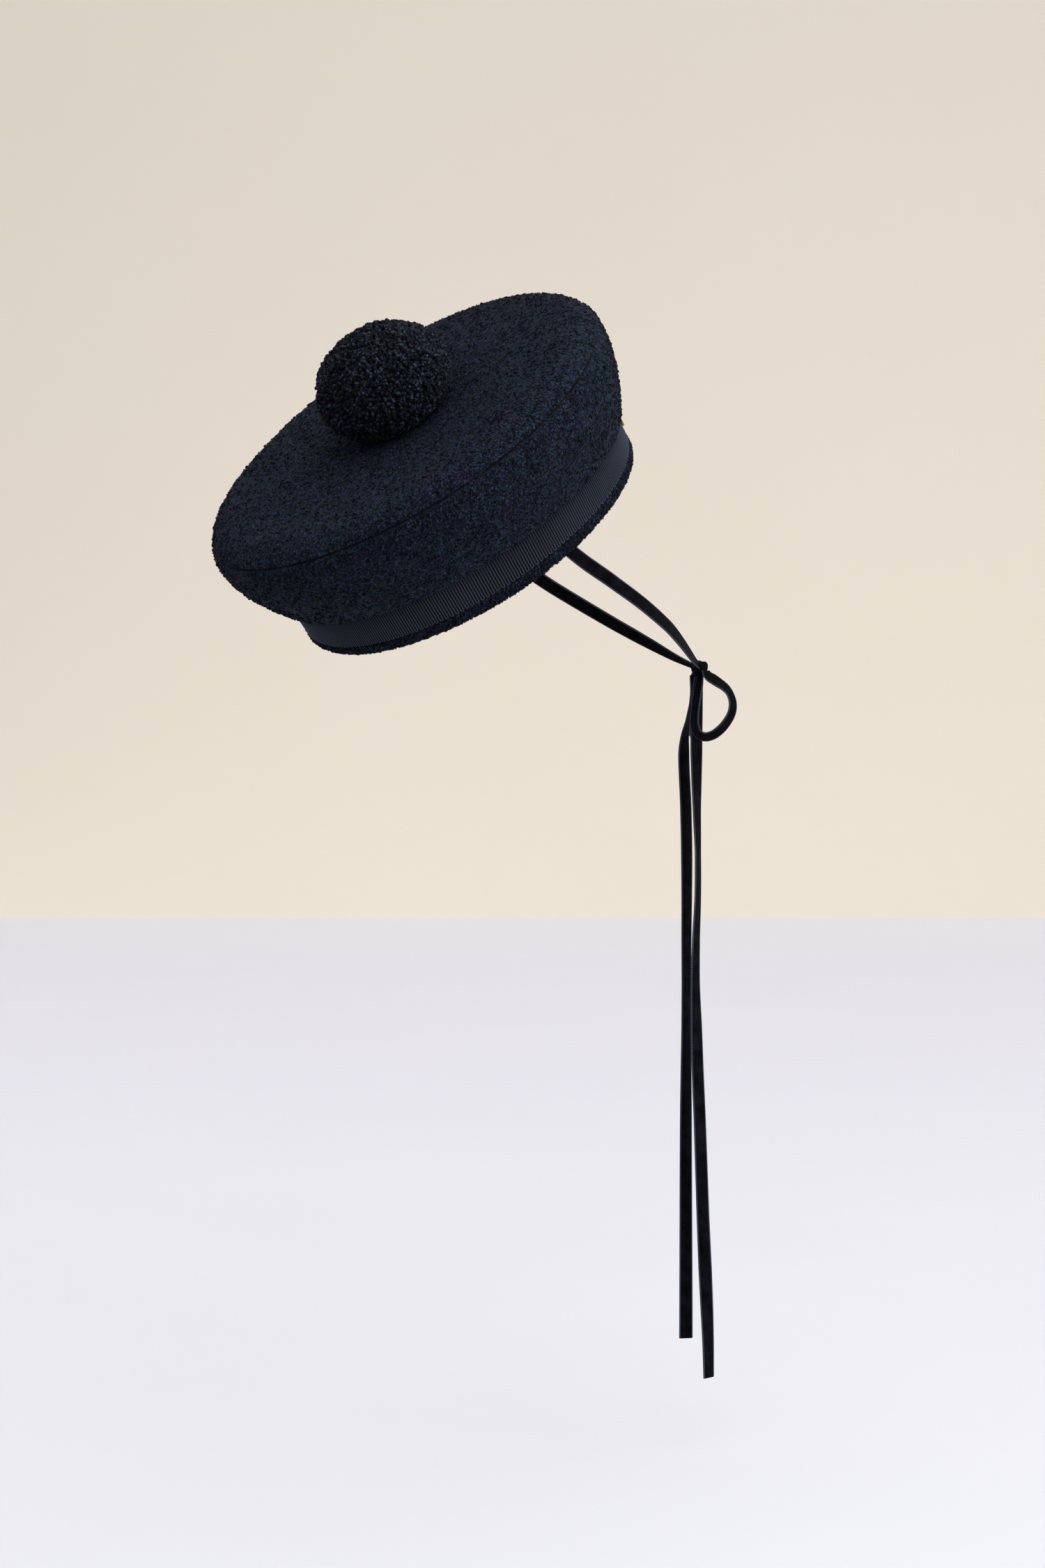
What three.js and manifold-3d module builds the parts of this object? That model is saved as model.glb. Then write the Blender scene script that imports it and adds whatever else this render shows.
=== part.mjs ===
// A sailor hat, worn tipped back: an oval cloth crown that overhangs a ribboned headband, a yarn
// pompom on its flat top, a plain metal bar in front, and two narrow velvet ties knotted in a bow.
// Millimetres. +X is the wearer's front, +Y the wearer's left, +Z up. The origin is the centre of
// the head opening, in the plane of the headband's lower edge.
import * as THREE from 'three';
import Module from 'manifold-3d';
import { mergeVertices } from 'three/addons/utils/BufferGeometryUtils.js';

const wasm = await Module();
wasm.setup();

const DEG = Math.PI / 180;

// How the hat sits: the whole hat leans back and to the wearer's right, and its soft crown leans
// a little further than its band.
const TIP_BACK = 35.8 * DEG;
const TIP_SIDE = 14.9 * DEG;
const CROWN_LEAN_BACK = 1.6 * DEG;
const CROWN_LEAN_SIDE = -1.3 * DEG;
const CROWN_SHIFT_FRONT = -3.1;
const CROWN_SHIFT_LEFT = 1.3;

// The head opening, an oval of 580 mm round.
const OPENING_HALF_LENGTH = 100;
const OPENING_HALF_WIDTH = 83;

// Headband: doubled wool cloth with a rolled lower edge, flaring a little to its top. The soft
// roll droops on the wearer's right.
const BAND_HEIGHT = 28;
const BAND_WALL = 3;
const BAND_FLARE = 1;
const EDGE_ROLL_HEIGHT = 4.8;
const EDGE_ROLL_DEPTH = 1.1;
const EDGE_DROOP = 2.2;

// Ribbon round the band, above the rolled edge.
const FIT_GAP = 0.3;
const RIBBON_THICKNESS = 0.9;
const RIBBON_WIDTH = 22;

// Plain metal bar on the ribbon at the front.
const BAR_LENGTH = 52;
const BAR_HEIGHT = 5;
const BAR_THICKNESS = 1.2;
const BAR_FOOT = 9.5;

// Crown: a side panel that swells out from an overhanging lip to its widest line, and a flat oval
// top panel. A soft round rim joins them, with the seam a little above the widest line.
const CLOTH = 3;
const LIP_BULGE = 7;
const LIP_FOOT = 23.5;
const WIDEST_HEIGHT = 68;
const SEAM_RISE = 5.9;
const SEAM_HEIGHT = WIDEST_HEIGHT + SEAM_RISE;
const CROWN_HALF_LENGTH = 123.2;
const CROWN_HALF_WIDTH = 111.4;
const RIM_ROUND = 20;
const RIM_RISE = 15;
const RIM_ROW_STEP = 20 * DEG;
const SEAM_DIP = 1;
const SEAM_DIP_REACH = 2.6;
const CROWN_WAVE_ALONG = 0.8;
const CROWN_WAVE_ACROSS = 1.4;

// Pompom of cut yarn, a little longer from side to side and flattened where it sits on the crown.
const POMPOM_CENTRE = [0.2, -1.1];
const POMPOM_HALF_LENGTH = 37;
const POMPOM_HALF_WIDTH = 40.5;
const POMPOM_HALF_HEIGHT = 28.8;
const POMPOM_RISE = 22.2;
const POMPOM_LOCKS = 54;
const LOCK_RADIUS = 6.6;
const LOCK_REACH = 3.2;

// Velvet ties.
const TIE_WIDTH = 8;
const TIE_THICKNESS = 1;
const KNOT_CENTRE = [138, 0, -73];
const KNOT_HALF = [4.4, 4.6, 4.4];

const ROUND_STEPS = 56;

// Routes of the ties, in the standing frame: place, turn of the ribbon's width away from the
// line that runs front-left, in degrees, and width as a share of the tie's.
const ROUTE_COLUMNS = { x: 0, y: 1, z: 2, turn: 3, width: 4 };
const TIE_RIGHT = [
  [20.6, -80.4, 3.6, 62, 1], [24, -78.6, -1.4, 64, 1], [28.4, -77.6, -7, 70, 1],
  [35.5, -79, -13, 75, 1], [43, -79, -18, 77, 1], [50.5, -78, -22.5, 73, 1],
  [58, -76, -27, 69, 1], [65.5, -73, -31.2, 66, 1], [73.5, -68.8, -35.6, 63, 1],
  [81.7, -63.5, -40.2, 60, 1], [90, -57, -44.8, 56, 1], [98.3, -49.5, -49.4, 51, 1],
  [106.3, -41, -54.2, 45, 1], [114, -32, -59, 38, 1], [121.5, -22.5, -63.8, 34, 0.95],
  [128.8, -12.8, -68.3, 32, 0.8], [135.1, -3.9, -71.5, 32, 0.55],
];
const TIE_LEFT = [
  [-3.5, 75, 37.5, 82, 1], [0.2, 76.4, 32.6, 83, 1], [4.5, 77.9, 27.4, 86, 1],
  [13.8, 79.2, 18.5, 90, 1], [23.8, 79.4, 10.2, 94, 1], [33.2, 78.5, 2.8, 97, 1],
  [42.6, 76.4, -4.6, 100, 1], [52.2, 73.3, -12, 103, 1], [62, 69, -19.4, 105, 1],
  [72, 63.6, -26.9, 107, 1], [82, 57, -34, 109, 1], [91.8, 49.5, -41, 112, 1],
  [101.4, 41, -48, 116, 1], [110.6, 32, -54.6, 122, 1], [119.5, 22.5, -61, 130, 0.95],
  [127.8, 12.6, -67, 138, 0.8], [135.1, 3.9, -71.5, 144, 0.55],
];
const LOOP_RIGHT = [
  [139.3, -4.9, -74.8, 60, 0.55], [139.4, -7, -76.4, 54, 0.75], [140.6, -10.3, -78.4, 48, 1],
  [143, -14, -80.9, 44, 1], [145.6, -18, -83.8, 38, 1], [147.4, -21.3, -87.6, 32, 1],
  [148, -23.4, -92.2, 36, 1], [147.2, -24, -97.4, 40, 1], [145, -22.9, -102.4, 42, 1],
  [142, -20.4, -107, 44, 1], [138.6, -17.2, -110.3, 44, 1], [135, -14.2, -111.4, 42, 1],
  [132, -12, -109.8, 38, 1], [130.6, -10.8, -105.8, 34, 1], [130.7, -9.8, -100, 32, 1],
  [131.9, -8.6, -93.8, 32, 1], [133.5, -7.2, -87.6, 34, 0.95], [135.3, -5.8, -82, 38, 0.8],
  [136.9, -4, -77.4, 44, 0.55],
];
const LOOP_LEFT = [
  [139.3, 4.9, -74.8, -60, 0.55], [139.8, 7.4, -76.4, -54, 0.75], [141.2, 11.6, -78.4, -50, 1],
  [143.3, 16.2, -80.9, -50, 1], [145.3, 21, -83.8, -50, 1], [146.8, 25, -87.6, -50, 1],
  [147.7, 27.4, -92.2, -50, 1], [147.8, 28.2, -97.4, -50, 1], [147.2, 27.2, -102.4, -50, 1],
  [146, 24.6, -107, -50, 1], [144.5, 21.4, -110.3, -50, 1], [142.8, 18.2, -111.4, -50, 1],
  [141.3, 16, -109.8, -50, 1], [140.5, 14.6, -105.8, -50, 1], [140, 13.6, -100, -50, 1],
  [139.7, 12.4, -93.8, -48, 1], [139.5, 10.7, -87.6, -46, 0.95], [139.2, 8.4, -82, -44, 0.8],
  [138.9, 5.2, -77, -44, 0.55],
];
const TAIL_RIGHT = [
  [136.4, -0.8, -77.9, 70, 0.55], [136.1, -0.6, -85.5, 66, 0.9], [135.6, -1, -101, 63, 1],
  [135.3, -1.6, -121, 61, 1], [135.3, -2.4, -152, 38, 1], [136, -2.5, -177.5, 27, 1],
  [136, -2.5, -203, 29, 1], [135, -2.5, -228.5, 36, 1], [134.7, -2.5, -253.5, 43, 1],
  [135.5, -2.5, -279, 57, 1], [136.4, -2.5, -303.5, 62, 1], [137.7, -2.4, -330, 64, 1],
  [138.9, -2.3, -359, 67, 1], [140.1, -2.2, -388, 70, 1], [141.5, -2.1, -416, 78, 1],
  [142.6, -2, -437, 72, 1], [143.5, -2, -458, 60, 1], [144, -2, -480, 52, 1],
];
const TAIL_LEFT = [
  [134.5, 2.8, -77.1, 56, 0.55], [135.8, 4.8, -86, 34, 0.8], [135.2, 5.6, -93, 20, 0.9],
  [133.4, 6.7, -103, 18, 1], [132.1, 7.5, -111, 36, 1], [131.6, 8, -121.5, 55, 1],
  [133.3, 8.8, -153, 57, 1], [134, 9, -178.5, 57, 1],
  [134.1, 9, -204, 52, 1], [134, 9, -229.5, 48, 1], [134, 9, -254.5, 44, 1],
  [134, 9, -280.5, 46, 1], [134, 9, -305, 54, 1], [134, 9, -330, 62, 1],
  [134, 8.9, -360, 66, 1], [134, 8.6, -389.5, 70, 1], [134, 8.2, -430, 76, 1],
  [134, 8, -458.5, 80, 1],
];

function material(color, roughness, metalness = 0) {
  return new THREE.MeshStandardMaterial({ color, roughness, metalness });
}

function named(name, geometry, finish) {
  const mesh = new THREE.Mesh(geometry, finish);
  mesh.name = name;
  return mesh;
}

// Joins rings of points into one closed skin. Rings are lists of equal length. The skin closes on
// itself when looped is true, and otherwise ends in the middle of its first and last rings.
function skin(rings, looped) {
  const count = rings[0].length;
  const points = rings.flat();
  const faces = [];
  const last = looped ? rings.length : rings.length - 1;
  for (let i = 0; i < last; i += 1) {
    const here = i * count;
    const next = ((i + 1) % rings.length) * count;
    for (let j = 0; j < count; j += 1) {
      const k = (j + 1) % count;
      faces.push(here + j, here + k, next + j, here + k, next + k, next + j);
    }
  }
  if (!looped) {
    const middle = (ring) => ring.reduce((sum, p) => sum.add(p), new THREE.Vector3())
      .divideScalar(count);
    const start = points.push(middle(rings[0])) - 1;
    const end = points.push(middle(rings[rings.length - 1])) - 1;
    const lastRing = (rings.length - 1) * count;
    for (let j = 0; j < count; j += 1) {
      const k = (j + 1) % count;
      faces.push(start, k, j);
      faces.push(end, lastRing + j, lastRing + k);
    }
  }
  const geometry = new THREE.BufferGeometry().setFromPoints(points);
  geometry.setIndex(faces);
  return geometry;
}

// A ring of the hat at a height. The oval stands outset mm outside the head opening, or outside
// the crown's widest oval in the share given, and follows the crown's lean in that share.
function hatRing(outset, height, share = 0, from = 0, to = 2 * Math.PI, steps = ROUND_STEPS) {
  const halfLength = OPENING_HALF_LENGTH + (CROWN_HALF_LENGTH - OPENING_HALF_LENGTH) * share
    + outset;
  const halfWidth = OPENING_HALF_WIDTH + (CROWN_HALF_WIDTH - OPENING_HALF_WIDTH) * share
    + outset;
  const closed = to - from > 2 * Math.PI - 0.001;
  const ring = [];
  for (let j = 0; j < (closed ? steps : steps + 1); j += 1) {
    const angle = from + ((to - from) * j) / steps;
    const x = halfLength * Math.cos(angle) + CROWN_SHIFT_FRONT * share;
    const y = halfWidth * Math.sin(angle) + CROWN_SHIFT_LEFT * share;
    ring.push(new THREE.Vector3(x, y, height + crownLift(x, y) * share));
  }
  return ring;
}

// How far the soft crown stands above or below its level plane at a place.
function crownLift(x, y) {
  const reach = Math.hypot(x / CROWN_HALF_LENGTH, y / CROWN_HALF_WIDTH);
  const angle = Math.atan2(y, x);
  const wave = CROWN_WAVE_ALONG * Math.cos(2 * angle) + CROWN_WAVE_ACROSS * Math.sin(2 * angle);
  return x * Math.tan(CROWN_LEAN_BACK) + y * Math.tan(CROWN_LEAN_SIDE) + wave * reach ** 4;
}

const flareAt = (height) => (BAND_FLARE * height) / BAND_HEIGHT;

// Headband wall, from its inner foot round the rolled edge and up to its sewn top.
function headband() {
  const roll = BAND_WALL + EDGE_ROLL_DEPTH;
  const rows = [
    { outset: 0, height: 1.6, droop: 0.3 },
    { outset: 0.8, height: 0.4, droop: 0.9 },
    { outset: roll / 2, height: 0, droop: 1 },
    { outset: roll - 0.7, height: 0.6, droop: 1 },
    { outset: roll, height: EDGE_ROLL_HEIGHT / 2, droop: 0.7 },
    { outset: roll - 0.4, height: EDGE_ROLL_HEIGHT - 0.6, droop: 0 },
    { outset: BAND_WALL, height: EDGE_ROLL_HEIGHT, droop: 0 },
    { outset: BAND_WALL, height: BAND_HEIGHT, droop: 0 },
    { outset: 0, height: BAND_HEIGHT, droop: 0 },
  ];
  const ring = (r) => hatRing(r.outset + flareAt(r.height), r.height)
    .map((p) => p.setZ(p.z - r.droop * edgeDroop(p)));
  return skin(rows.map(ring), true);
}

// How far the rolled edge hangs below the opening's plane at a place: most on the wearer's right.
function edgeDroop(place) {
  return EDGE_DROOP * Math.max(0, -place.y / Math.hypot(place.x, place.y));
}

const RIBBON_FOOT = EDGE_ROLL_HEIGHT + FIT_GAP;
const RIBBON_INSIDE = BAND_WALL + FIT_GAP;
const RIBBON_OUTSIDE = RIBBON_INSIDE + RIBBON_THICKNESS;

function ribbonRound() {
  const top = RIBBON_FOOT + RIBBON_WIDTH;
  const rows = [
    { outset: RIBBON_INSIDE, height: RIBBON_FOOT },
    { outset: RIBBON_OUTSIDE, height: RIBBON_FOOT },
    { outset: RIBBON_OUTSIDE, height: top },
    { outset: RIBBON_INSIDE, height: top },
  ];
  return skin(rows.map((r) => hatRing(r.outset + flareAt(r.height), r.height)), true);
}

// Metal bar, bent to the ribbon.
function frontBar() {
  const inside = RIBBON_OUTSIDE + FIT_GAP;
  const half = Math.asin(BAR_LENGTH / 2 / (OPENING_HALF_WIDTH + inside));
  const steps = 10;
  const bevel = BAR_THICKNESS / 3;
  const rows = [
    { outset: inside, height: BAR_FOOT },
    { outset: inside + BAR_THICKNESS - bevel, height: BAR_FOOT },
    { outset: inside + BAR_THICKNESS, height: BAR_FOOT + bevel },
    { outset: inside + BAR_THICKNESS, height: BAR_FOOT + BAR_HEIGHT - bevel },
    { outset: inside + BAR_THICKNESS - bevel, height: BAR_FOOT + BAR_HEIGHT },
    { outset: inside, height: BAR_FOOT + BAR_HEIGHT },
  ];
  const lines = rows.map((r) => hatRing(r.outset + flareAt(r.height), r.height, 0, -half, half, steps));
  const sections = lines[0].map((_, j) => lines.map((line) => line[j]));
  return skin(sections.reverse(), false);
}

// A place on the crown's soft rim, depth mm inside its face. bend is 0 at the widest line and a
// quarter turn where the rim meets the flat top.
function rimSpot(bend, depth) {
  const out = Math.cos(bend) / RIM_ROUND;
  const upward = Math.sin(bend) / RIM_RISE;
  const length = Math.hypot(out, upward);
  return {
    outset: -RIM_ROUND * (1 - Math.cos(bend)) - (depth * out) / length,
    height: WIDEST_HEIGHT + RIM_RISE * Math.sin(bend) - (depth * upward) / length,
    share: 1,
  };
}

const SEAM_BEND = Math.asin((SEAM_HEIGHT - WIDEST_HEIGHT) / RIM_RISE);
const SEAM_OUTSET = rimSpot(SEAM_BEND, 0).outset;
const SEAM_INSIDE = rimSpot(SEAM_BEND, CLOTH).outset - 1;
const CROWN_HEIGHT = WIDEST_HEIGHT + RIM_RISE;

// Side panel of the crown: out from the lip to the widest line and over it to the seam, then back
// down inside it, over the band's sewn top and down the ribbon to the lip again.
function crownSide() {
  const steps = 7;
  const insideSteps = 4;
  const rows = [];
  const lipOutset = LIP_BULGE + flareAt(LIP_FOOT);
  const swell = (t) => Math.sin((t * Math.PI) / 2) ** 0.95;
  const sideRow = (t, inset) => {
    const share = swell(t);
    const height = LIP_FOOT + (WIDEST_HEIGHT - LIP_FOOT) * t;
    return { outset: lipOutset * (1 - share) - inset, height, share };
  };
  const lipInside = RIBBON_OUTSIDE + FIT_GAP;
  rows.push({ outset: lipInside + 0.9 + flareAt(LIP_FOOT), height: LIP_FOOT - 0.5, share: 0 });
  for (let i = 0; i < steps; i += 1) {
    rows.push(sideRow(i / steps, 0));
  }
  const shoulder = Math.asin((SEAM_HEIGHT - SEAM_DIP_REACH - WIDEST_HEIGHT) / RIM_RISE);
  rows.push(rimSpot(0, 0), rimSpot(shoulder, 0));
  const seamFoot = SEAM_HEIGHT - FIT_GAP / 2;
  rows.push({ outset: SEAM_OUTSET - SEAM_DIP, height: seamFoot, share: 1 });
  rows.push({ outset: SEAM_INSIDE, height: seamFoot, share: 1 });
  rows.push(rimSpot(SEAM_BEND, CLOTH), rimSpot(0, CLOTH));
  for (let i = insideSteps - 1; i >= 1; i -= 1) {
    rows.push(sideRow(i / insideSteps, CLOTH));
  }
  const sill = BAND_HEIGHT + FIT_GAP;
  rows.push({ outset: flareAt(BAND_HEIGHT) + 1, height: sill + 3, share: 0 });
  rows.push({ outset: flareAt(BAND_HEIGHT), height: sill, share: 0 });
  rows.push({ outset: lipInside + flareAt(BAND_HEIGHT), height: sill, share: 0 });
  rows.push({ outset: lipInside + flareAt(LIP_FOOT), height: LIP_FOOT + 0.2, share: 0 });
  return skin(rows.map((r) => hatRing(r.outset, r.height, r.share)), true);
}

// Top panel: round rim from the seam, flat middle, and the same inside, a cloth's thickness in.
function crownTop() {
  const rimSteps = 5;
  const flatShares = [0.7, 0.3];
  const seamHead = SEAM_HEIGHT + FIT_GAP / 2;
  const outer = [{ outset: SEAM_OUTSET - SEAM_DIP, height: seamHead, share: 1 }];
  const shoulder = Math.asin((SEAM_HEIGHT + SEAM_DIP_REACH - WIDEST_HEIGHT) / RIM_RISE);
  for (let i = 0; i <= rimSteps; i += 1) {
    outer.push(rimSpot(shoulder + (i / rimSteps) * (Math.PI / 2 - shoulder), 0));
  }
  const flatRing = (share, height) => hatRing(-RIM_ROUND, height, 1)
    .map((p) => {
      const x = CROWN_SHIFT_FRONT + (p.x - CROWN_SHIFT_FRONT) * share;
      const y = CROWN_SHIFT_LEFT + (p.y - CROWN_SHIFT_LEFT) * share;
      return new THREE.Vector3(x, y, height + crownLift(x, y));
    });
  const under = CROWN_HEIGHT - CLOTH;
  const rings = [...flatShares].reverse().map((share) => flatRing(share, under));
  const inner = [rimSpot(Math.PI / 2, CLOTH)];
  for (let bend = Math.PI / 2 - RIM_ROW_STEP; bend > SEAM_BEND + RIM_ROW_STEP / 2; bend -= RIM_ROW_STEP) {
    inner.push(rimSpot(bend, CLOTH));
  }
  inner.push({ outset: SEAM_INSIDE, height: seamHead, share: 1 });
  [...inner, ...outer].forEach((r) => rings.push(hatRing(r.outset, r.height, r.share)));
  flatShares.forEach((share) => rings.push(flatRing(share, CROWN_HEIGHT)));
  return skin(rings, false);
}

function toSolid(geometry) {
  const bare = geometry.clone();
  bare.deleteAttribute('normal');
  bare.deleteAttribute('uv');
  const merged = mergeVertices(bare, 1e-4);
  return new wasm.Manifold(new wasm.Mesh({
    numProp: 3,
    vertProperties: new Float32Array(merged.attributes.position.array),
    triVerts: new Uint32Array(merged.index.array),
  }));
}

function toGeometry(solid) {
  const mesh = solid.getMesh();
  const geometry = new THREE.BufferGeometry();
  geometry.setAttribute('position', new THREE.BufferAttribute(mesh.vertProperties, 3));
  geometry.setIndex(new THREE.BufferAttribute(mesh.triVerts, 1));
  return geometry;
}

// Directions spread evenly over a ball.
function spreadDirections(count) {
  const turn = Math.PI * (3 - Math.sqrt(5));
  return Array.from({ length: count }, (_, i) => {
    const up = 1 - (2 * (i + 0.5)) / count;
    const out = Math.sqrt(1 - up * up);
    return new THREE.Vector3(out * Math.cos(i * turn), out * Math.sin(i * turn), up);
  });
}

// Pompom: yarn locks fused to a core, cut level where it rests on the crown.
function pompom() {
  const ballRadius = POMPOM_HALF_LENGTH;
  const coreRadius = ballRadius - LOCK_REACH;
  const core = new THREE.IcosahedronGeometry(coreRadius, 3);
  const profile = [[0, -8], [LOCK_RADIUS, -5], [LOCK_RADIUS * 0.8, LOCK_REACH * 0.7], [0, LOCK_REACH]];
  const lock = new THREE.LatheGeometry(profile.map(([r, h]) => new THREE.Vector2(r, h)), 6);
  let ball = toSolid(core);
  spreadDirections(POMPOM_LOCKS).forEach((way) => {
    const placed = lock.clone();
    placed.applyQuaternion(new THREE.Quaternion().setFromUnitVectors(
      new THREE.Vector3(0, 1, 0), way));
    placed.translate(way.x * coreRadius, way.y * coreRadius, way.z * coreRadius);
    ball = ball.add(toSolid(placed));
  });
  const widen = POMPOM_HALF_WIDTH / ballRadius;
  const flatten = POMPOM_HALF_HEIGHT / ballRadius;
  const seat = CROWN_HEIGHT + FIT_GAP;
  const centre = CROWN_HEIGHT + POMPOM_RISE;
  const floor = new THREE.BoxGeometry(4 * ballRadius, 4 * ballRadius, 2 * ballRadius);
  floor.translate(0, 0, (seat - centre) / flatten - ballRadius);
  const geometry = toGeometry(ball.subtract(toSolid(floor)));
  const spots = geometry.attributes.position;
  for (let i = 0; i < spots.count; i += 1) {
    const x = spots.getX(i) + POMPOM_CENTRE[0];
    const y = spots.getY(i) * widen + POMPOM_CENTRE[1];
    const lean = x * Math.tan(CROWN_LEAN_BACK) + y * Math.tan(CROWN_LEAN_SIDE);
    spots.setXYZ(i, x, y, spots.getZ(i) * flatten + centre + lean);
  }
  return geometry;
}

// A flat ribbon along a route. Its section has eight corners.
function tie(route, stepLength) {
  const places = route.map((row) => new THREE.Vector3(row[0], row[1], row[2]));
  const curve = new THREE.CatmullRomCurve3(places, false, 'centripetal');
  const steps = Math.round(curve.getLength() / stepLength);
  const acrossLine = new THREE.Vector3(Math.sin(20 * DEG), Math.cos(20 * DEG), 0);
  const rings = [];
  const shares = Array.from({ length: steps + 1 }, (_, i) => curve.getUtoTmapping(i / steps));
  shares.forEach((t) => {
    const at = curve.getPoint(t);
    const ahead = curve.getTangent(t);
    const spot = t * (route.length - 1);
    const low = Math.min(Math.floor(spot), route.length - 2);
    const blend = spot - low;
    const column = (key) => {
      const k = ROUTE_COLUMNS[key];
      return route[low][k] * (1 - blend) + route[low + 1][k] * blend;
    };
    const across = acrossLine.clone().addScaledVector(ahead, -acrossLine.dot(ahead)).normalize();
    const width = across.applyAxisAngle(ahead, column('turn') * DEG);
    const depth = new THREE.Vector3().crossVectors(ahead, width);
    const halfWidth = (TIE_WIDTH * column('width')) / 2;
    const halfDepth = TIE_THICKNESS / 2;
    const corner = halfDepth * 0.6;
    const section = [
      [halfWidth, -halfDepth + corner], [halfWidth, halfDepth - corner],
      [halfWidth - corner, halfDepth], [corner - halfWidth, halfDepth],
      [-halfWidth, halfDepth - corner], [-halfWidth, corner - halfDepth],
      [corner - halfWidth, -halfDepth], [halfWidth - corner, -halfDepth],
    ];
    rings.push(section.map(([w, d]) => at.clone()
      .addScaledVector(width, w)
      .addScaledVector(depth, d)));
  });
  return skin(rings, false);
}

function knot() {
  const ball = new THREE.IcosahedronGeometry(1, 2);
  ball.scale(...KNOT_HALF);
  ball.translate(...KNOT_CENTRE);
  ball.deleteAttribute('normal');
  ball.deleteAttribute('uv');
  return mergeVertices(ball, 1e-4);
}

const boucle = () => material(0x1b2030, 0.95);
const velvet = () => material(0x0b0c10, 0.85);

const hat = new THREE.Group();
hat.rotation.x = TIP_SIDE;
hat.add(named('headband', headband(), boucle()));
hat.add(named('grosgrain_band', ribbonRound(), material(0x15171f, 0.7)));
hat.add(named('crown_side', crownSide(), boucle()));
hat.add(named('crown_top', crownTop(), boucle()));
hat.add(named('pompom', pompom(), material(0x0d0f17, 1)));
hat.add(named('front_bar', frontBar(), material(0xb98a4a, 0.3, 1)));

const tipped = new THREE.Group();
tipped.rotation.y = -TIP_BACK;
tipped.add(hat);

const ties = new THREE.Group();
ties.add(named('tie_right', tie(TIE_RIGHT, 6.5), velvet()));
ties.add(named('tie_left', tie(TIE_LEFT, 6.5), velvet()));
ties.add(named('bow_knot', knot(), velvet()));
ties.add(named('bow_loop_right', tie(LOOP_RIGHT, 3), velvet()));
ties.add(named('bow_loop_left', tie(LOOP_LEFT, 3), velvet()));
ties.add(named('tail_right', tie(TAIL_RIGHT, 12), velvet()));
ties.add(named('tail_left', tie(TAIL_LEFT, 12), velvet()));

const sailorHat = new THREE.Group();
sailorHat.add(tipped, ties);

export default sailorHat;
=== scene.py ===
# %% [markdown]
# # A sailor hat with a pompom and velvet ties
# The hat is a soft cap of looped (boucle) wool: a flat oval top, a side panel that swells out over a
# narrow headband, a ribbed ribbon round that band, a ball of cut yarn on top, and two narrow velvet
# ties knotted in a bow. It keeps the shape it has when worn, tipped back and to the wearer's right.
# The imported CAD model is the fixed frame: each piece below is made where a CAD solid already is.

# %% Load the frame
import math

import bmesh
import bpy
import numpy as np
from mathutils import Matrix, Vector, noise


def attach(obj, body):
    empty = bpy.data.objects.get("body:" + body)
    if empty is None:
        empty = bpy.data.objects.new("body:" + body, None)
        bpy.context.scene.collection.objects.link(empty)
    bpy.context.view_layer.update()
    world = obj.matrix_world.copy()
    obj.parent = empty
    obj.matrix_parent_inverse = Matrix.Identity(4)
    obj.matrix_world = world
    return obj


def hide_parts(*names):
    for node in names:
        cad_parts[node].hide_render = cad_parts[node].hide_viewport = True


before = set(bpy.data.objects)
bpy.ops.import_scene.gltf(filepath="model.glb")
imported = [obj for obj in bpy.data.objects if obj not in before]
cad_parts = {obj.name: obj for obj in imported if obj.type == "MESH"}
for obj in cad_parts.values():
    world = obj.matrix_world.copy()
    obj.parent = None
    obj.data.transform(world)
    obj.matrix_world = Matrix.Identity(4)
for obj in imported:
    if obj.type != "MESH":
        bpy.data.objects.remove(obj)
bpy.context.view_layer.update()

MM = 0.001
SEED = 7

# %% [markdown]
# ## The camera
# The photograph was taken from behind the wearer's right shoulder, a little below the hat, with a
# lens long enough to keep its shape calm. A camera is placed by three directions at right angles:
# where it looks, what is to its right and what is up. Its lens is given against the frame's height.

# %% Place the camera
CAMERA_AT = Vector((-573.0, -1659.5, -33.4)) * MM
LOOK = Vector((0.34144, 0.93809, -0.05838)).normalized()
SENSOR_HEIGHT = 24
LENS = 48.70

right = LOOK.cross(Vector((0, 0, 1))).normalized()
up = right.cross(LOOK)
turn = Matrix((right, up, -LOOK)).transposed().to_4x4()
camera = bpy.data.objects.new("camera", bpy.data.cameras.new("camera"))
camera.data.sensor_fit = "VERTICAL"
camera.data.sensor_height = SENSOR_HEIGHT
camera.data.lens = LENS
camera.matrix_world = Matrix.Translation(CAMERA_AT) @ turn
bpy.context.scene.collection.objects.link(camera)
bpy.context.scene.camera = camera
print("camera to head opening, metres:", round(CAMERA_AT.length, 3))

# %% [markdown]
# ## Colours, nodes and pieces
# Colours are written as the sRGB hex values that a paint chart shows, and one function turns them
# to the linear values that shaders need. One more function adds a shader node with its settings and
# links, so that a material reads as a list of steps. The last turns a bmesh into a finished piece.

# %% Helpers for colour and nodes
def linear(code, alpha=1.0):
    """An sRGB hex colour as linear red, green, blue and alpha."""
    channels = [int(code[i:i + 2], 16) / 255 for i in (0, 2, 4)]
    return tuple(c / 12.92 if c <= 0.04045 else ((c + 0.055) / 1.055) ** 2.4 for c in channels) + (alpha,)


def node(tree, kind, settings=None, **links):
    """Adds a node. settings are its own options or socket values; links name sockets to join."""
    made = tree.nodes.new(kind)
    for key, value in (settings or {}).items():
        if isinstance(key, int) or key in made.inputs:
            made.inputs[key].default_value = value
        else:
            setattr(made, key, value)
    for key, source in links.items():
        name = key.replace("_", " ")
        target = made.inputs[int(name[5:])] if name.startswith("input") else made.inputs[name]
        tree.links.new(source, target)
    return made


def material(name):
    """A new node material, with its tree and its shader."""
    made = bpy.data.materials.new(name)
    made.use_nodes = True
    tree = made.node_tree
    return made, tree, tree.nodes["Principled BSDF"]


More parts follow.
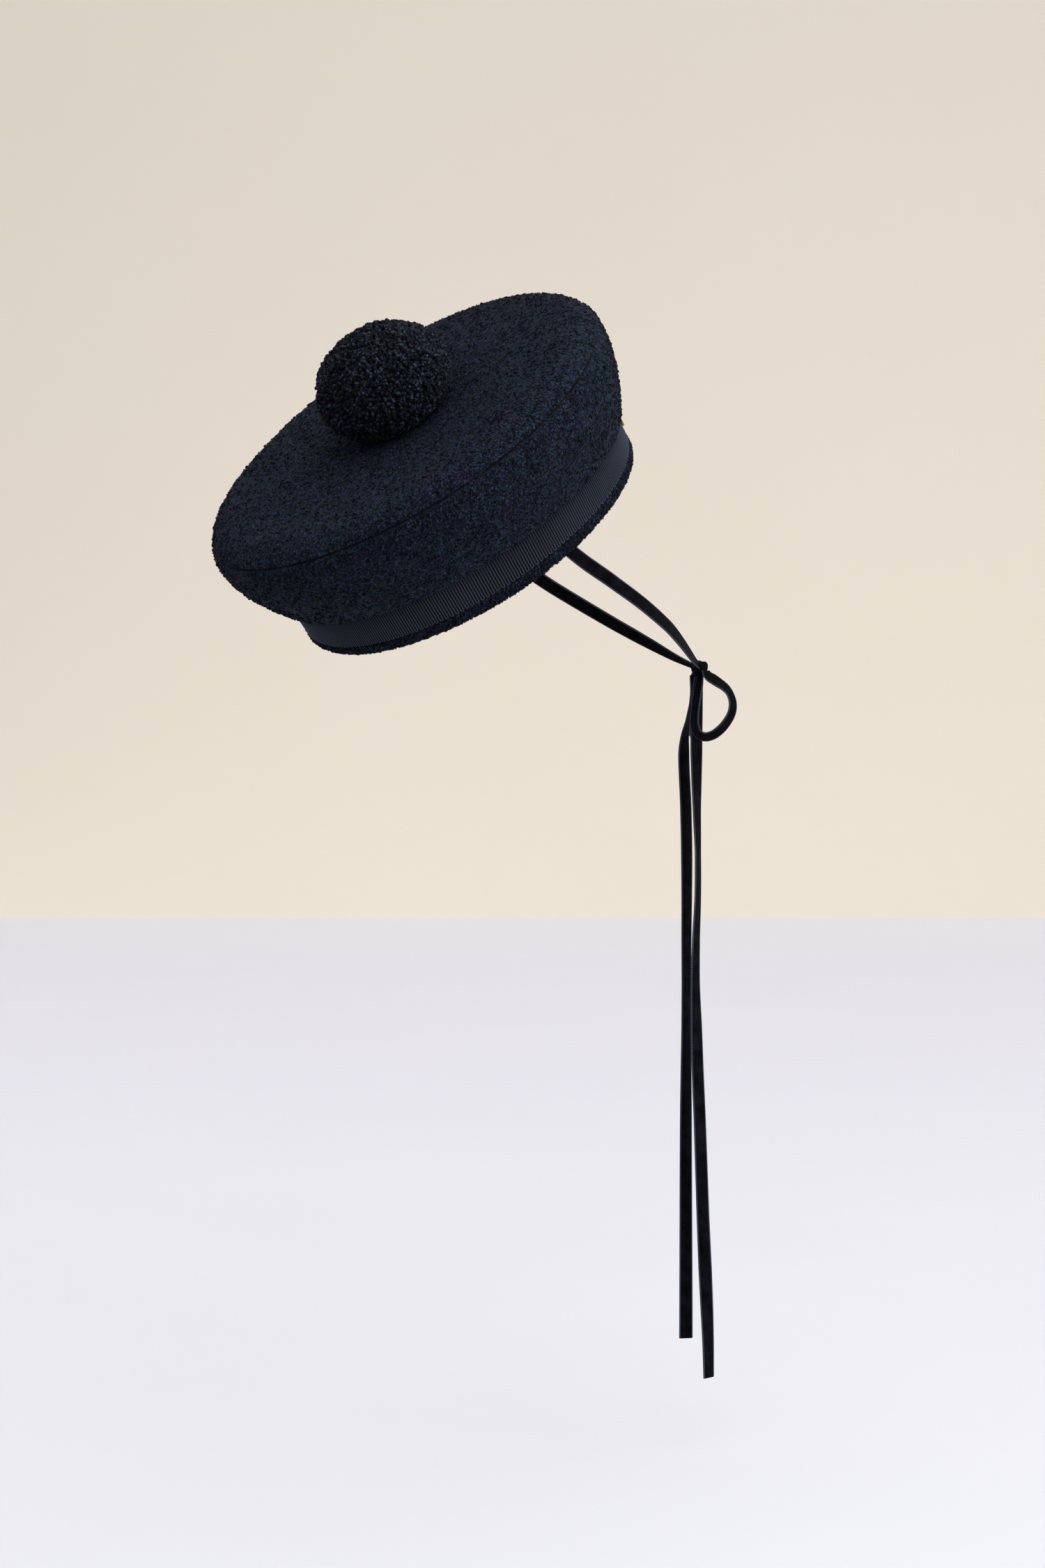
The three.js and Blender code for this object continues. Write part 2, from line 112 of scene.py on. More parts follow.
def piece(name, bm, finish, replaced=()):
    """Turns a bmesh in the standing frame, in millimetres, into a finished piece."""
    bmesh.ops.scale(bm, vec=(MM, MM, MM), verts=bm.verts)
    mesh = bpy.data.meshes.new(name)
    bm.to_mesh(mesh)
    bm.free()
    mesh.polygons.foreach_set("use_smooth", [True] * len(mesh.polygons))
    made = bpy.data.objects.new(name, mesh)
    bpy.context.scene.collection.objects.link(made)
    mesh.materials.append(finish)
    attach(made, "root")
    if replaced:
        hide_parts(*replaced)
    triangles = sum(len(p.vertices) - 2 for p in mesh.polygons)
    print(name, "triangles:", triangles)
    return made


# %% [markdown]
# ## Velvet
# Velvet ribbon is rayon pile on a satin back: near black face on, with a soft bright rim where the
# pile is seen from the side. Its two edges are woven selvedges without pile, and a row of fine
# stitches shows there. The ribbon pieces carry two attributes in millimetres: how far across and
# how far along a point lies. The selvedge, its stitches and the pile are drawn from those.

# %% Velvet, cut rayon pile with woven selvedges
STITCH_PITCH = 0.9   # mm from one selvedge stitch to the next
PILE_GRAIN = 0.35    # mm; real pile is 0.1 mm, drawn coarser so that it shows
SELVEDGE_AT = 3.2    # mm from the middle of an 8 mm ribbon

velvet, tree, shader = material("velvet_rayon_pile")
across = node(tree, "ShaderNodeAttribute", {"attribute_name": "across"}).outputs["Fac"]
along = node(tree, "ShaderNodeAttribute", {"attribute_name": "along"}).outputs["Fac"]
place = node(tree, "ShaderNodeTexCoord").outputs["Object"]
edge = node(tree, "ShaderNodeMath", {"operation": "ABSOLUTE"}, input0=across).outputs[0]
selvedge = node(tree, "ShaderNodeMapRange", {"interpolation_type": "SMOOTHSTEP",
                "From Min": SELVEDGE_AT - 0.15, "From Max": SELVEDGE_AT + 0.15}, Value=edge).outputs[0]
beat = node(tree, "ShaderNodeMath", {"operation": "MULTIPLY", 1: 2 * math.pi / STITCH_PITCH},
            input0=along).outputs[0]
stitch = node(tree, "ShaderNodeMath", {"operation": "SINE"}, input0=beat).outputs[0]
stitch01 = node(tree, "ShaderNodeMapRange", {"From Min": -0.6, "From Max": 0.9}, Value=stitch).outputs[0]
thread = node(tree, "ShaderNodeMath", {"operation": "MULTIPLY"}, input0=stitch01, input1=selvedge).outputs[0]
grain = node(tree, "ShaderNodeTexNoise", {"Scale": 1 / (PILE_GRAIN * MM), "Detail": 2.0}, Vector=place).outputs["Fac"]
crush = node(tree, "ShaderNodeTexNoise", {"Scale": 1 / (7 * MM), "Detail": 2.0}, Vector=place).outputs["Fac"]
shade = node(tree, "ShaderNodeMath", {"operation": "ADD"}, input0=grain, input1=crush).outputs[0]
pile = node(tree, "ShaderNodeMapRange", {"From Min": 0.85, "From Max": 1.3}, Value=shade).outputs[0]
pile_colour = node(tree, "ShaderNodeMix", {"data_type": "RGBA", 6: linear("010103"), 7: linear("111117")},
                   input0=pile).outputs[2]
edge_colour = node(tree, "ShaderNodeMix", {"data_type": "RGBA", 6: linear("0c0d11"), 7: linear("59606f")},
                   input0=thread).outputs[2]
colour = node(tree, "ShaderNodeMix", {"data_type": "RGBA"}, input0=selvedge, input6=pile_colour,
              input7=edge_colour).outputs[2]
bump = node(tree, "ShaderNodeBump", {"Strength": 0.35, "Distance": 0.1 * MM}, Height=grain).outputs[0]
tree.links.new(colour, shader.inputs["Base Color"])
tree.links.new(bump, shader.inputs["Normal"])
shader.inputs["Roughness"].default_value = 0.8
shader.inputs["Specular IOR Level"].default_value = 0.05
shader.inputs["Sheen Weight"].default_value = 0.075
shader.inputs["Sheen Roughness"].default_value = 0.3
shader.inputs["Sheen Tint"].default_value = linear("7c8cb8")
print("velvet stitches every", STITCH_PITCH, "mm")

# %% [markdown]
# ## The ties
# The ties are one ribbon 8 mm wide on each side. They start inside the headband, run down the cheeks
# and meet in a small bow, whose two tails hang free to their cut ends. Each part is a free cord with
# a known length. A ribbon could be extruded along a curve, but its width has to turn as it goes, so
# a flat grid is rolled round the ribbon's section and laid along the route, ring by ring.

# %% Routes of the ties
# Place in millimetres, turn of the ribbon's width from the line that runs front-left in degrees,
# and width as a share of the ribbon's 8 mm. The same rows shape the CAD solids.
TIE_WIDTH = 8.0
PILE_HALF = 0.62
SELVEDGE_HALF = 0.3
ROUTES = {
    "tie_right": [
        (20.6, -80.4, 3.6, 62, 1), (24, -78.6, -1.4, 64, 1), (28.4, -77.6, -7, 70, 1),
        (35.5, -79, -13, 75, 1), (43, -79, -18, 77, 1), (50.5, -78, -22.5, 73, 1),
        (58, -76, -27, 69, 1), (65.5, -73, -31.2, 66, 1), (73.5, -68.8, -35.6, 63, 1),
        (81.7, -63.5, -40.2, 60, 1), (90, -57, -44.8, 56, 1), (98.3, -49.5, -49.4, 51, 1),
        (106.3, -41, -54.2, 45, 1), (114, -32, -59, 38, 1), (121.5, -22.5, -63.8, 34, 0.95),
        (128.8, -12.8, -68.3, 32, 0.8), (135.1, -3.9, -71.5, 32, 0.55)],
    "tie_left": [
        (-3.5, 75, 37.5, 82, 1), (0.2, 76.4, 32.6, 83, 1), (4.5, 77.9, 27.4, 86, 1),
        (13.8, 79.2, 18.5, 90, 1), (23.8, 79.4, 10.2, 94, 1), (33.2, 78.5, 2.8, 97, 1),
        (42.6, 76.4, -4.6, 100, 1), (52.2, 73.3, -12, 103, 1), (62, 69, -19.4, 105, 1),
        (72, 63.6, -26.9, 107, 1), (82, 57, -34, 109, 1), (91.8, 49.5, -41, 112, 1),
        (101.4, 41, -48, 116, 1), (110.6, 32, -54.6, 122, 1), (119.5, 22.5, -61, 130, 0.95),
        (127.8, 12.6, -67, 138, 0.8), (135.1, 3.9, -71.5, 144, 0.55)],
    "bow_loop_right": [
        (139.3, -4.9, -74.8, 60, 0.55), (139.4, -7, -76.4, 54, 0.75), (140.6, -10.3, -78.4, 48, 1),
        (143, -14, -80.9, 44, 1), (145.6, -18, -83.8, 38, 1), (147.4, -21.3, -87.6, 32, 1),
        (148, -23.4, -92.2, 36, 1), (147.2, -24, -97.4, 40, 1), (145, -22.9, -102.4, 42, 1),
        (142, -20.4, -107, 44, 1), (138.6, -17.2, -110.3, 44, 1), (135, -14.2, -111.4, 42, 1),
        (132, -12, -109.8, 38, 1), (130.6, -10.8, -105.8, 34, 1), (130.7, -9.8, -100, 32, 1),
        (131.9, -8.6, -93.8, 32, 1), (133.5, -7.2, -87.6, 34, 0.95), (135.3, -5.8, -82, 38, 0.8),
        (136.9, -4, -77.4, 44, 0.55)],
    "bow_loop_left": [
        (139.3, 4.9, -74.8, -60, 0.55), (139.8, 7.4, -76.4, -54, 0.75), (141.2, 11.6, -78.4, -50, 1),
        (143.3, 16.2, -80.9, -50, 1), (145.3, 21, -83.8, -50, 1), (146.8, 25, -87.6, -50, 1),
        (147.7, 27.4, -92.2, -50, 1), (147.8, 28.2, -97.4, -50, 1), (147.2, 27.2, -102.4, -50, 1),
        (146, 24.6, -107, -50, 1), (144.5, 21.4, -110.3, -50, 1), (142.8, 18.2, -111.4, -50, 1),
        (141.3, 16, -109.8, -50, 1), (140.5, 14.6, -105.8, -50, 1), (140, 13.6, -100, -50, 1),
        (139.7, 12.4, -93.8, -48, 1), (139.5, 10.7, -87.6, -46, 0.95), (139.2, 8.4, -82, -44, 0.8),
        (138.9, 5.2, -77, -44, 0.55)],
    "tail_right": [
        (136.4, -0.8, -77.9, 70, 0.55), (136.1, -0.6, -85.5, 66, 0.9), (135.6, -1, -101, 63, 1),
        (135.3, -1.6, -121, 61, 1), (135.3, -2.4, -152, 38, 1), (136, -2.5, -177.5, 27, 1),
        (136, -2.5, -203, 29, 1), (135, -2.5, -228.5, 36, 1), (134.7, -2.5, -253.5, 43, 1),
        (135.5, -2.5, -279, 57, 1), (136.4, -2.5, -303.5, 62, 1), (137.7, -2.4, -330, 64, 1),
        (138.9, -2.3, -359, 67, 1), (140.1, -2.2, -388, 70, 1), (141.5, -2.1, -416, 78, 1),
        (142.6, -2, -437, 72, 1), (143.5, -2, -458, 60, 1), (144, -2, -480, 52, 1)],
    "tail_left": [
        (134.5, 2.8, -77.1, 56, 0.55), (135.8, 4.8, -86, 34, 0.8), (135.2, 5.6, -93, 20, 0.9),
        (133.4, 6.7, -103, 18, 1), (132.1, 7.5, -111, 36, 1), (131.6, 8, -121.5, 55, 1),
        (133.3, 8.8, -153, 57, 1), (134, 9, -178.5, 57, 1),
        (134.1, 9, -204, 52, 1), (134, 9, -229.5, 48, 1), (134, 9, -254.5, 44, 1),
        (134, 9, -280.5, 46, 1), (134, 9, -305, 54, 1), (134, 9, -330, 62, 1),
        (134, 8.9, -360, 66, 1), (134, 8.6, -389.5, 70, 1), (134, 8.2, -430, 76, 1),
        (134, 8, -458.5, 80, 1)],
}
print("ties:", ", ".join(ROUTES))


# %% A smooth line through a route
def smooth_line(rows, spacing):
    """Points at an even spacing on a smooth curve through the rows, with their turn and width."""
    rows = np.array(rows, float)
    places = rows[:, :3]
    ends = np.vstack([2 * places[0] - places[1], places, 2 * places[-1] - places[-2]])
    fine = []
    for i in range(len(places) - 1):
        p0, p1, p2, p3 = ends[i:i + 4]
        d0, d1, d2 = (np.linalg.norm(b - a) ** 0.5 for a, b in ((p0, p1), (p1, p2), (p2, p3)))
        m1 = ((p1 - p0) / d0 - (p2 - p0) / (d0 + d1) + (p2 - p1) / d1) * d1
        m2 = ((p2 - p1) / d1 - (p3 - p1) / (d1 + d2) + (p3 - p2) / d2) * d1
        for t in np.arange(0, 1, 0.05):
            at = (p1 + m1 * t + (3 * (p2 - p1) - 2 * m1 - m2) * t ** 2
                  + (2 * (p1 - p2) + m1 + m2) * t ** 3)
            fine.append(np.append(at, rows[i, 3:] * (1 - t) + rows[i + 1, 3:] * t))
    fine = np.array(fine + [rows[-1]])
    steps = np.linalg.norm(np.diff(fine[:, :3], axis=0), axis=1)
    reached = np.concatenate([[0], np.cumsum(steps)])
    marks = np.linspace(0, reached[-1], max(int(reached[-1] / spacing), 8) + 1)
    line = np.stack([np.interp(marks, reached, fine[:, k]) for k in range(fine.shape[1])], axis=1)
    return line, marks


# %% Lay a ribbon along a line
FRONT_LEFT = np.array([math.sin(math.radians(20)), math.cos(math.radians(20)), 0.0])


def ribbon_section(width):
    """Half-round edges, a thin selvedge and raised pile: (across, depth) pairs round the ribbon."""
    half = TIE_WIDTH / 2
    upper = [(half, 0.0), (half - 0.12, 0.22), (3.45, SELVEDGE_HALF), (3.3, 0.5), (2.9, PILE_HALF),
             (1.5, PILE_HALF + 0.05), (0.0, PILE_HALF + 0.08), (-1.5, PILE_HALF + 0.05),
             (-2.9, PILE_HALF), (-3.3, 0.5), (-3.45, SELVEDGE_HALF), (0.12 - half, 0.22)]
    section = upper + [(-w, -d) for w, d in upper]
    return [(w, w * width, d) for w, d in section]


def ribbon(name, rows, spacing=1.5):
    """A velvet ribbon as a closed bmesh, with its across and along attributes in millimetres."""
    line, marks = smooth_line(rows, spacing)
    ahead = np.gradient(line[:, :3], axis=0)
    ahead /= np.linalg.norm(ahead, axis=1)[:, None]
    round_count = len(ribbon_section(1.0))
    bm = bmesh.new()
    across_layer = bm.verts.layers.float.new("across")
    along_layer = bm.verts.layers.float.new("along")
    bmesh.ops.create_grid(bm, x_segments=round_count, y_segments=len(line) - 1, size=0.5)
    bm.verts.ensure_lookup_table()
    for vert in bm.verts:
        i = round((vert.co.x + 0.5) * round_count) % round_count
        j = round((vert.co.y + 0.5) * (len(line) - 1))
        t = ahead[j]
        flat = FRONT_LEFT - t * FRONT_LEFT.dot(t)
        flat /= np.linalg.norm(flat)
        angle = math.radians(line[j, 3])
        wide = flat * math.cos(angle) + np.cross(t, flat) * math.sin(angle)
        deep = np.cross(t, wide)
        w_full, w, d = ribbon_section(line[j, 4])[i]
        gather = (1 - line[j, 4]) * 2.2 * ((w_full / 4) ** 2 - 0.35)
        vert.co = Vector(line[j, :3] + wide * w + deep * (d + gather))
        vert[across_layer] = w_full
        vert[along_layer] = marks[j]
    bmesh.ops.remove_doubles(bm, verts=bm.verts, dist=1e-5)
    rims = [e for e in bm.edges if e.is_boundary]
    bmesh.ops.holes_fill(bm, edges=rims, sides=0)
    bmesh.ops.recalc_face_normals(bm, faces=bm.faces)
    return bm, [Vector(p) * MM for p in line[:, :3]], marks[-1] * MM


cords = {}
for name, rows in ROUTES.items():
    bm, path, length = ribbon(name, rows)
    made = piece(name + "_velvet", bm, velvet, replaced=(name,))
    cords[name] = (made, path, length)
    print(name, "length in mm:", round(length / MM, 1))

# %% [markdown]
# ## The knot
# The middle of the bow is the ribbon wrapped once round the gathered loops. A profile of that wrap,
# with its two selvedges and the folds that show beside them, is spun round the line that runs from
# loop to loop. A gentle noise then makes it look tied by hand.

# %% Spin the knot's wrap
KNOT_AT = Vector((138, 0, -73))
KNOT_PROFILE = [(-4.5, 0.0), (-4.45, 1.6), (-4.1, 2.9), (-3.5, 3.3), (-3.3, 3.5), (-3.25, 4.0),
                (-2.6, 4.25), (-1.2, 4.35), (0.0, 4.4), (1.2, 4.35), (2.6, 4.25), (3.25, 4.0),
                (3.3, 3.5), (3.5, 3.3), (4.1, 2.9), (4.45, 1.6), (4.5, 0.0)]
bm = bmesh.new()
across_layer = bm.verts.layers.float.new("across")
along_layer = bm.verts.layers.float.new("along")
chain = [bm.verts.new((0, y, r)) for y, r in KNOT_PROFILE]
for a, b in zip(chain, chain[1:]):
    bm.edges.new((a, b))
bmesh.ops.spin(bm, geom=list(bm.verts) + list(bm.edges), cent=(0, 0, 0), axis=(0, 1, 0),
               angle=2 * math.pi, steps=36, use_merge=True)
bmesh.ops.remove_doubles(bm, verts=bm.verts, dist=1e-4)
bmesh.ops.recalc_face_normals(bm, faces=bm.faces)
for vert in bm.verts:
    turned = math.atan2(vert.co.z, vert.co.x)
    vert[across_layer] = vert.co.y * 0.69
    vert[along_layer] = turned * 4.4
    crease = 0.35 * math.cos(3 * turned + vert.co.y * 0.9) * (abs(vert.co.y) < 4)
    out = Vector((vert.co.x, 0, vert.co.z))
    if out.length > 0.1:
        vert.co += out.normalized() * (crease - 0.25 + 0.25 * noise.noise(vert.co * 0.5))
bmesh.ops.translate(bm, vec=KNOT_AT, verts=bm.verts)
knot = piece("bow_knot_wrap", bm, velvet, replaced=("bow_knot",))

# %% Say what each tie is
CORD_FACTS = {
    "tie_right": {"far_end": "knot", "lay": "taut", "with_pieces": [knot]},
    "tie_left": {"far_end": "knot", "lay": "taut"},
    "bow_loop_right": {"far_end": "knot", "lay": "loose"},
    "bow_loop_left": {"far_end": "knot", "lay": "loose"},
    "tail_right": {"far_end": "bare", "lay": "hanging"},
    "tail_left": {"far_end": "bare", "lay": "hanging"},
}
for name, facts in CORD_FACTS.items():
    made, path, length = cords[name]
print("cords declared:", len(CORD_FACTS))

# %% [markdown]
# ## Boucle wool
# Boucle is woven from a yarn that curls back on itself, so the cloth is a field of small nubs and
# loops a millimetre or two across, and matt. The large nubs and the loops are real shapes. The finer
# curl is drawn with noise at its real size, in bump and in colour; in the colour the gaps between
# nubs are near black, which is painted shade.

# %% Boucle, looped navy wool
NUB = 1.2        # mm across a nub of curled yarn
FIBRE = 0.45     # mm; single fibres are far finer, drawn as coarse as this to show


def wool(name, low, high, sheen, nub=NUB, strength=0.9, flecks=1.25):
    """A matt wool of curled yarn, from the painted shade of its gaps to the two hues of its nubs."""
    made, tree, shader = material(name)
    place = node(tree, "ShaderNodeTexCoord").outputs["Object"]
    warp = node(tree, "ShaderNodeTexNoise", {"Scale": 1 / (2.2 * nub * MM), "Detail": 1.0},
                Vector=place).outputs["Color"]
    pushed = node(tree, "ShaderNodeVectorMath", {"operation": "MULTIPLY_ADD", 1: (0.6 * nub * MM,) * 3},
                  input0=warp, input2=place).outputs[0]
    cells = node(tree, "ShaderNodeTexVoronoi", {"feature": "F1", "Scale": 1 / (nub * MM)}, Vector=pushed)
    nubs = node(tree, "ShaderNodeMapRange", {"From Min": 0.1, "From Max": 0.75, "To Min": 1.0,
                "To Max": 0.0}, Value=cells.outputs["Distance"]).outputs[0]
    chance = node(tree, "ShaderNodeSeparateColor", Color=cells.outputs["Color"]).outputs[0]
    rare = node(tree, "ShaderNodeMath", {"operation": "POWER", 1: 2.0}, input0=chance).outputs[0]
    fleck = node(tree, "ShaderNodeMath", {"operation": "MULTIPLY_ADD", 1: flecks, 2: 1 - flecks / 3},
                 input0=rare).outputs[0]
    curl = node(tree, "ShaderNodeTexNoise", {"Scale": 1 / (FIBRE * MM), "Detail": 3.0, "Distortion": 0.8},
                Vector=place).outputs["Fac"]
    height = node(tree, "ShaderNodeMath", {"operation": "MULTIPLY_ADD", 1: 0.8}, input0=curl,
                  input2=nubs).outputs[0]
    tone = node(tree, "ShaderNodeMapRange", {"From Min": 0.45, "From Max": 1.35}, Value=height).outputs[0]
    wear = node(tree, "ShaderNodeTexNoise", {"Scale": 1 / (28 * MM), "Detail": 3.0}, Vector=place).outputs["Fac"]
    lifted = node(tree, "ShaderNodeMath", {"operation": "MULTIPLY_ADD", 1: 0.16, 2: -0.08},
                  input0=wear).outputs[0]
    summed = node(tree, "ShaderNodeMath", {"operation": "ADD"}, input0=tone, input1=lifted).outputs[0]
    mixed = node(tree, "ShaderNodeMath", {"operation": "MULTIPLY"}, input0=summed, input1=fleck).outputs[0]
    patch = node(tree, "ShaderNodeTexNoise", {"Scale": 1 / (16 * MM), "Detail": 2.0}, Vector=place).outputs["Fac"]
    dyed = node(tree, "ShaderNodeMapRange", {"From Min": 0.35, "From Max": 0.65}, Value=patch).outputs[0]
    crest = node(tree, "ShaderNodeMix", {"data_type": "RGBA", 6: linear(high[0]), 7: linear(high[1])},
                 input0=dyed).outputs[2]
    # Colour runs from the near-black gap colour to the nub hues as the nubs rise: painted shade in the gaps. The
    # flecks and the slow tone change are random.
    colour = node(tree, "ShaderNodeMix", {"data_type": "RGBA", "clamp_factor": False, 6: linear(low)},
                  input0=mixed, input7=crest).outputs[2]
    # Painted shade in the seam's groove: the colour goes near black where this attribute is 1.
    seam_shade = node(tree, "ShaderNodeAttribute", {"attribute_name": "seam_groove_shade"}).outputs["Fac"]
    colour = node(tree, "ShaderNodeMix", {"data_type": "RGBA", 7: linear("010203")}, input0=seam_shade,
                  input6=colour).outputs[2]
    bump = node(tree, "ShaderNodeBump", {"Strength": strength, "Distance": 0.5 * MM}, Height=height).outputs[0]
    tree.links.new(colour, shader.inputs["Base Color"])
    tree.links.new(bump, shader.inputs["Normal"])
    shader.inputs["Roughness"].default_value = 0.95
    shader.inputs["Specular IOR Level"].default_value = 0.15
    shader.inputs["Sheen Weight"].default_value = sheen
    shader.inputs["Sheen Roughness"].default_value = 0.6
    shader.inputs["Sheen Tint"].default_value = linear("8d95ad")
    return made


# The first colour is the painted shade in the gaps between nubs, the pair after it the nubs' two hues.
boucle = wool("boucle_navy_wool", "010306", ("253446", "283049"), 0.03)
yarn = wool("pompom_cut_wool_yarn", "010102", ("2e3848", "2e3341"), 0.03, nub=1.7, flecks=2.3)
print("boucle nub in mm:", NUB)

# %% [markdown]
# ## The hat's own frame
# The hat is easiest to make upright and round its own axis, as on a block, so each cloth piece is
# first spun as a round shell. One function then seats its points: it makes the round shell oval,
# lets the crown lean and dip as soft cloth does, and tips the whole hat as it is worn.

# %% Seat a round shell on the tipped oval
TIP = (Matrix.Rotation(math.radians(-35.8), 3, "Y") @ Matrix.Rotation(math.radians(14.9), 3, "X"))
OPENING = (100.0, 83.0)
CROWN = (123.2, 111.4)
SHIFT = (-3.1, 1.3)
LEAN = (math.tan(math.radians(1.6)), math.tan(math.radians(-1.3)))
BAND_HEIGHT, LIP_FOOT, WIDEST, SEAM, RIM_ROUND, RIM_RISE = 28.0, 23.5, 68.0, 73.9, 20.0, 15.0
TOP = WIDEST + RIM_RISE
FLAT = CROWN[0] - RIM_ROUND


def crown_share(height):
    """0 at the lip, 1 from the widest line up: how far a point belongs to the widest oval."""
    t = min(max((height - LIP_FOOT) / (WIDEST - LIP_FOOT), 0.0), 1.0)
    return math.sin(t * math.pi / 2) ** 0.95


def rim_spot(bend, depth=0.0):
    """A (radius, height) pair on the soft rim: bend is 0 at the widest line and a quarter turn on top."""
    out, upward = math.cos(bend) / RIM_ROUND, math.sin(bend) / RIM_RISE
    length = math.hypot(out, upward)
    return (CROWN[0] - RIM_ROUND * (1 - math.cos(bend)) - depth * out / length,
            WIDEST + RIM_RISE * math.sin(bend) - depth * upward / length)


def crown_lift(x, y):
    """How far the soft crown stands above or below its level plane."""
    angle = math.atan2(y, x)
    wave = 0.8 * math.cos(2 * angle) + 1.4 * math.sin(2 * angle)
    return x * LEAN[0] + y * LEAN[1] + wave * math.hypot(x / CROWN[0], y / CROWN[1]) ** 4


def seat(co, share):
    """Moves a point of a round shell to its place on the tipped, oval hat."""
    angle = math.atan2(co.y, co.x)
    length = math.hypot(co.x, co.y)
    narrower = (OPENING[0] - OPENING[1]) - share * ((OPENING[0] - OPENING[1]) - (CROWN[0] - CROWN[1]))
    if share >= 1 and length < FLAT:
        width = length * (FLAT - narrower) / FLAT
    else:
        width = length - narrower
    x = length * math.cos(angle) + SHIFT[0] * share
    y = width * math.sin(angle) + SHIFT[1] * share
    return TIP @ Vector((x, y, co.z + crown_lift(x, y) * share))


def spin_profile(profile, steps):
    """Spins closed or open (radius, height) pairs round the hat's axis into a round shell."""
    bm = bmesh.new()
    chain = [bm.verts.new((r, 0, z)) for r, z in profile]
    for a, b in zip(chain, chain[1:]):
        bm.edges.new((a, b))
    bmesh.ops.spin(bm, geom=list(bm.verts) + list(bm.edges), cent=(0, 0, 0), axis=(0, 0, 1),
                   angle=2 * math.pi, steps=steps, use_merge=True)
    bmesh.ops.remove_doubles(bm, verts=bm.verts, dist=1e-4)
    bmesh.ops.recalc_face_normals(bm, faces=bm.faces)
    return bm


def even_steps(points, spacing):
    """The same line of (radius, height) pairs with points at an even spacing."""
    points = np.array(points, float)
    gone = np.concatenate([[0], np.cumsum(np.linalg.norm(np.diff(points, axis=0), axis=1))])
    marks = np.linspace(0, gone[-1], max(int(round(gone[-1] / spacing)), 1) + 1)
    return [(float(np.interp(m, gone, points[:, 0])), float(np.interp(m, gone, points[:, 1]))) for m in marks]


print("crown share at mid height:", round(crown_share(48), 3))

# %% [markdown]
# ## Loops of yarn
# Real boucle has thousands of yarn loops that stand a millimetre off the cloth and break its edge
# against the light. One loop is a small circle spun through part of a turn. Copies of it are laid
# at random on the outer faces of a shell, each with its own size and turn, as one joined mesh.

# %% One loop and its scattered copies
def one_loop(thick, bend, sides=3, steps=4, sweep=250):
    """Corners and faces of a curled bit of yarn, spun through part of a turn."""
    bm = bmesh.new()
    bmesh.ops.create_circle(bm, cap_ends=False, segments=sides, radius=thick)
    bmesh.ops.rotate(bm, verts=bm.verts, cent=(0, 0, 0), matrix=Matrix.Rotation(math.pi / 2, 3, "X"))
    bmesh.ops.translate(bm, verts=bm.verts, vec=(bend, 0, 0))
    bmesh.ops.spin(bm, geom=list(bm.verts) + list(bm.edges), cent=(0, 0, 0), axis=(0, 0, 1),
                   angle=math.radians(sweep), steps=steps)
    bmesh.ops.recalc_face_normals(bm, faces=bm.faces)
    corners = np.array([v.co[:] for v in bm.verts])
    faces = np.array([[v.index for v in f.verts] for f in bm.faces])
    bm.free()
    return corners, faces


def scatter(bm, count, shape, sink, size, tilt, seed, keep=lambda face: True):
    """Joins count copies of a small shape to the outer faces of a bmesh, seated at random."""
    rng = np.random.default_rng(seed)
    bm.normal_update()
    chosen = [f for f in bm.faces if keep(f)]
    areas = np.array([f.calc_area() for f in chosen])
    picks = rng.choice(len(chosen), size=count, p=areas / areas.sum())
    corners, faces = shape
    all_corners = np.empty((count, len(corners), 3))
    for n, k in enumerate(picks):
        face = chosen[k]
        weights = rng.dirichlet([1.0] * len(face.verts))
        at = np.sum([np.array(v.co) * w for v, w in zip(face.verts, weights)], axis=0)
        normal = np.array(face.normal)
        side = np.cross(normal, rng.normal(size=3))
        side /= np.linalg.norm(side)
        lean = rng.uniform(*tilt)
        axis = normal * math.cos(lean) + side * math.sin(lean)
        first = np.cross(axis, rng.normal(size=3))
        first /= np.linalg.norm(first)
        second = np.cross(axis, first)
        scale = rng.uniform(*size)
        basis = np.stack([first, second, axis])
        all_corners[n] = (corners * scale) @ basis + at - normal * sink
    offsets = (np.arange(count) * len(corners))[:, None, None]
    all_faces = (faces[None] + offsets).reshape(-1, faces.shape[1])
    mesh = bpy.data.meshes.new("scattered")
    mesh.from_pydata(all_corners.reshape(-1, 3).tolist(), [], all_faces.tolist())
    bm.from_mesh(mesh)
    bpy.data.meshes.remove(mesh)
    return bm


LOOP = one_loop(thick=0.42, bend=0.62, steps=3)
print("faces in one loop:", len(LOOP[1]))

# %% [markdown]
# ## The crown's side
# The side panel swells from the lip that overhangs the band up to the seam at the widest line. Its
# profile is one closed line: out and up the outside, in at the seam, down the inside of the cloth.
# It is spun to a shell, roughened with noise where the yarn bunches, and strewn with loops.

# %% Make the crown's side
CLOTH = 3.0
FINE = 1.35          # mm between the points of the side's outer face
FINE_TOP = 1.75      # and of the top's
ROUND = 540          # points round the crown, as far apart
LIP_OUT = 7.0 + LIP_FOOT / BAND_HEIGHT
LIP_IN = 4.5 + LIP_FOOT / BAND_HEIGHT


def side_radius(height, inset=0.0):
    share = crown_share(height)
    return OPENING[0] + (CROWN[0] - OPENING[0]) * share + LIP_OUT * (1 - share) - inset


def roughen(bm, is_outer, amount, seed, reach=0.9):
    """Bunches the cloth's outer points in and out, in nubs and in slow waves."""
    bm.normal_update()
    start = Vector((seed * 11.3, seed * 5.1, 0))
    for vert in bm.verts:
        if is_outer(vert):
            nub = noise.noise(vert.co * 0.62 + start) + 0.6 * noise.noise(vert.co * 1.3 + start)
            slow = noise.noise(vert.co * 0.022 + start)
            vert.co += vert.normal * (amount * nub + reach * 0.45 * slow)


